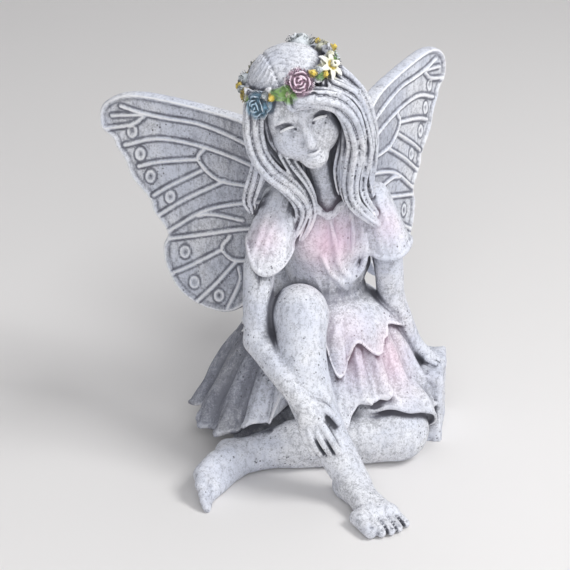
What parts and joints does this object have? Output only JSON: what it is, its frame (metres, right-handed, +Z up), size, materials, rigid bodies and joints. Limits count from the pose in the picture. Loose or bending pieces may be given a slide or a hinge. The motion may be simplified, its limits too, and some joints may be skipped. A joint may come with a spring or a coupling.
{
  "type": "fairy figurine",
  "caption": "Seated winged fairy figurine in weathered stone-look resin, head bowed under a painted flower crown, one knee raised, hand resting on a low rock.",
  "frame": {"origin": "on the ground under the middle of the figure's box", "axes": "+Z up; -Y towards the front as the picture sees it, +X towards the figure's left hand and the squared rock"},
  "size_m": [0.1222, 0.1484, 0.1508],
  "materials": {
    "weathered_resin": "matt cast resin with a pale whitewash dry-brushed over dark grey pits and creases, pink blushes on the dress and painted flowers"
  },
  "bodies": {
    "root": {"fairy_figurine": "weathered_resin"}
  },
  "joints": []
}
